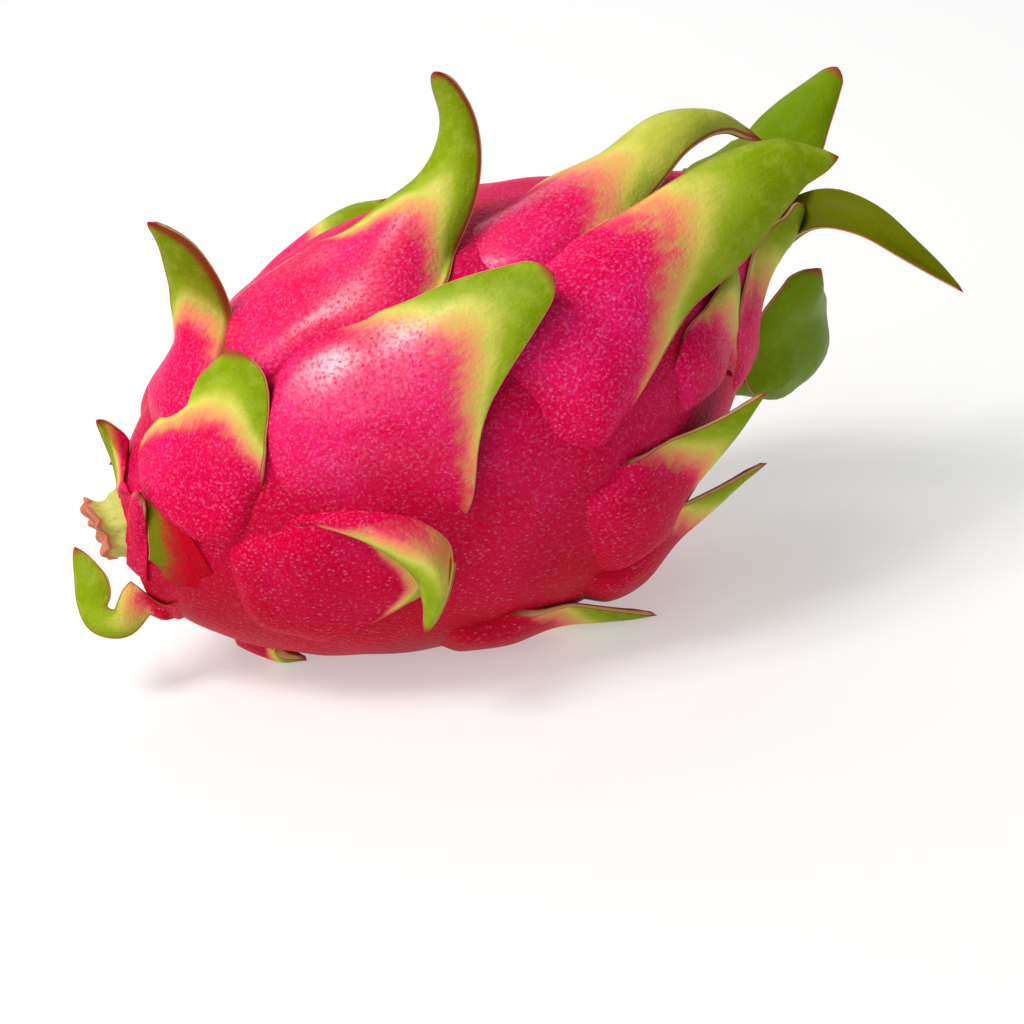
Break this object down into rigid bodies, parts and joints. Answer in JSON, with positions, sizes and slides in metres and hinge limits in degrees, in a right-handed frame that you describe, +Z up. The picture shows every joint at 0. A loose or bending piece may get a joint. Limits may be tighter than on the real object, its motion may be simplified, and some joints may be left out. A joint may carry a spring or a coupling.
{
  "type": "dragon fruit",
  "caption": "Whole pink-skinned dragon fruit lying on its side, with leafy green-tipped scales over an egg-shaped body, a cut stem and a crown of longer scales.",
  "frame": {"origin": "centre of the small flat spot that the fruit lies on", "axes": "+Z up, away from the surface; +X along the fruit from the stem towards the crown, whose end is raised by 12 degrees; -Y is the front"},
  "size_m": [0.1832, 0.1079, 0.1168],
  "materials": {
    "rind": "waxy satin fruit skin, deep pink with pale speckles",
    "leaf_scale": "waxy satin leaf, pink at the foot and green towards the tip",
    "cut_stem": "dry, fibrous cut stem",
    "dried_flower": "dry brown flower scar"
  },
  "bodies": {
    "root": {"fruit_body": "rind", "stem_stub": "cut_stem", "flower_scar": "dried_flower", "stem_scale_01": "leaf_scale", "stem_scale_02": "leaf_scale", "stem_scale_03": "leaf_scale", "stem_scale_04": "leaf_scale", "stem_scale_05": "leaf_scale", "lower_scale_01": "leaf_scale", "lower_scale_02": "leaf_scale", "lower_scale_03": "leaf_scale", "lower_scale_04": "leaf_scale", "lower_scale_05": "leaf_scale", "lower_scale_06": "leaf_scale", "lower_scale_07": "leaf_scale", "middle_scale_01": "leaf_scale", "middle_scale_02": "leaf_scale", "middle_scale_03": "leaf_scale", "middle_scale_04": "leaf_scale", "middle_scale_05": "leaf_scale", "middle_scale_06": "leaf_scale", "middle_scale_07": "leaf_scale", "middle_scale_08": "leaf_scale", "upper_scale_01": "leaf_scale", "upper_scale_02": "leaf_scale", "upper_scale_03": "leaf_scale", "upper_scale_04": "leaf_scale", "upper_scale_05": "leaf_scale", "upper_scale_06": "leaf_scale", "upper_scale_07": "leaf_scale", "upper_scale_08": "leaf_scale", "upper_scale_09": "leaf_scale", "crown_scale_01": "leaf_scale", "crown_scale_02": "leaf_scale", "crown_scale_03": "leaf_scale", "crown_scale_04": "leaf_scale", "crown_scale_05": "leaf_scale", "crown_scale_06": "leaf_scale", "crown_scale_07": "leaf_scale", "crown_scale_08": "leaf_scale", "crown_scale_09": "leaf_scale"}
  },
  "joints": []
}
